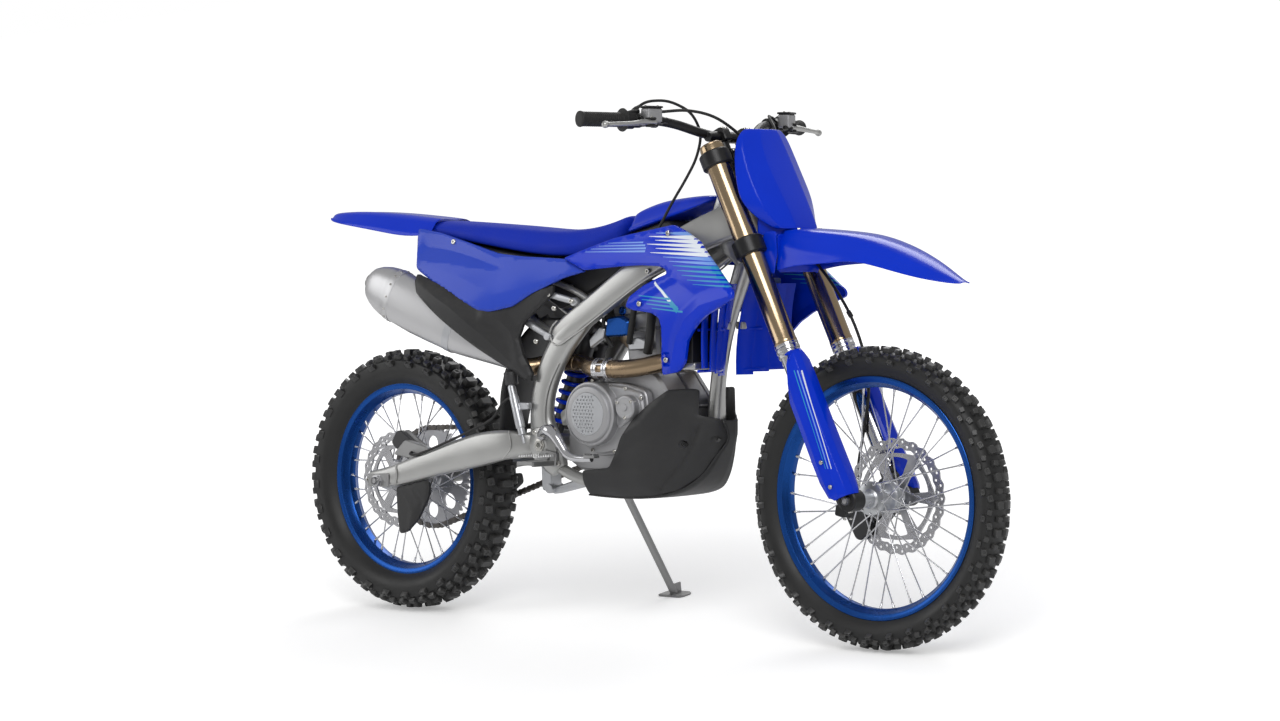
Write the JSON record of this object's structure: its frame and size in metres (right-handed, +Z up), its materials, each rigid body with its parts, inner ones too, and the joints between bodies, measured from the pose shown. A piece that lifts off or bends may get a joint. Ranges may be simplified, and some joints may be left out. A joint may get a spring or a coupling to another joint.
{
  "type": "off-road motorcycle",
  "caption": "Single-seat off-road motorcycle with beam frame, long-travel fork, knobbly tyres and moulded bodywork, leaning on its side stand.",
  "frame": {"origin": "on the floor, under the middle of the parked motorcycle's bounding box", "axes": "+X towards the front wheel, +Y to the rider's left, +Z up from the floor"},
  "size_m": [2.1574, 0.8206, 1.2819],
  "materials": {
    "tyre": "matte knobbly rubber",
    "blue_rim": "blue anodised",
    "spoke_steel": "bright drawn wire",
    "hub_alloy": "satin machined",
    "disc_steel": "ground steel",
    "sprocket_alloy": "satin machined",
    "chain_steel": "oiled steel",
    "fork_gold": "champagne anodised",
    "slider_steel": "hard chromed leg",
    "blue_plastic": "gloss moulded",
    "black_plastic": "fine moulded grain",
    "black_alloy": "satin black",
    "black_rubber": "matte",
    "caliper_grey": "dark hard coat",
    "axle_steel": "ground steel",
    "frame_alloy": "satin bead blasted",
    "suspension_metal": "satin",
    "engine_alloy": "cast and painted",
    "bronze_pipe": "heat-tinted titanium",
    "muffler_alloy": "brushed",
    "seat_cover": "ribbed gripper cover",
    "peg_steel": "cast steel"
  },
  "bodies": {
    "frame": {"control_cables": "black_rubber", "frame": "frame_alloy", "cradle": "frame_alloy", "swingarm": "frame_alloy", "rear_axle": "axle_steel", "subframe": "frame_alloy", "rear_suspension": "suspension_metal", "engine": "engine_alloy", "engine_covers": "engine_alloy", "exhaust_pipe": "bronze_pipe", "muffler": "muffler_alloy", "radiators": "black_alloy", "shrouds": "blue_plastic", "side_panels": "blue_plastic", "airbox_panels": "black_plastic", "seat": "seat_cover", "fuel_tank": "blue_plastic", "rear_fender": "blue_plastic", "skid_plate": "black_plastic", "foot_controls": "peg_steel", "rear_brake": "caliper_grey", "chain": "chain_steel"},
    "fork": {"triple_clamps": "black_alloy", "fork_tubes": "fork_gold", "fork_sliders": "slider_steel", "fork_guards": "blue_plastic", "handlebar": "black_alloy", "grips": "black_rubber", "hand_controls": "black_alloy", "number_plate": "blue_plastic", "front_fender": "blue_plastic", "front_brake": "caliper_grey", "front_axle": "axle_steel"},
    "front_wheel": {"front_tyre": "tyre", "front_rim": "blue_rim", "front_spokes": "spoke_steel", "front_hub": "hub_alloy", "front_disc": "disc_steel"},
    "rear_wheel": {"rear_tyre": "tyre", "rear_rim": "blue_rim", "rear_spokes": "spoke_steel", "rear_hub": "hub_alloy", "rear_disc": "disc_steel", "rear_sprocket": "sprocket_alloy"},
    "side_stand": {"side_stand": "peg_steel"}
  },
  "joints": [
    {"name": "steering", "type": "hinge", "parent": "frame", "child": "fork", "pos_m": [0.32337, -0.01994, 1.07487], "axis": [-0.4375, 0.1406, 0.8881], "range_deg": [-42, 42], "deforming": ["control_cables"]},
    {"name": "front_wheel_spin", "type": "hinge", "parent": "fork", "child": "front_wheel", "pos_m": [0.73133, -0.13531, 0.34606], "axis": [-0.0001, 0.9877, -0.1564], "continuous": true},
    {"name": "rear_wheel_spin", "type": "hinge", "parent": "frame", "child": "rear_wheel", "pos_m": [-0.74869, -0.13813, 0.32969], "axis": [-0.0001, 0.9877, -0.1564], "continuous": true},
    {"name": "stand_fold", "type": "hinge", "parent": "frame", "child": "side_stand", "pos_m": [-0.18869, 0.01347, 0.32742], "axis": [-0.1872, 0.9822, 0.0175], "range_deg": [0, 96]}
  ]
}
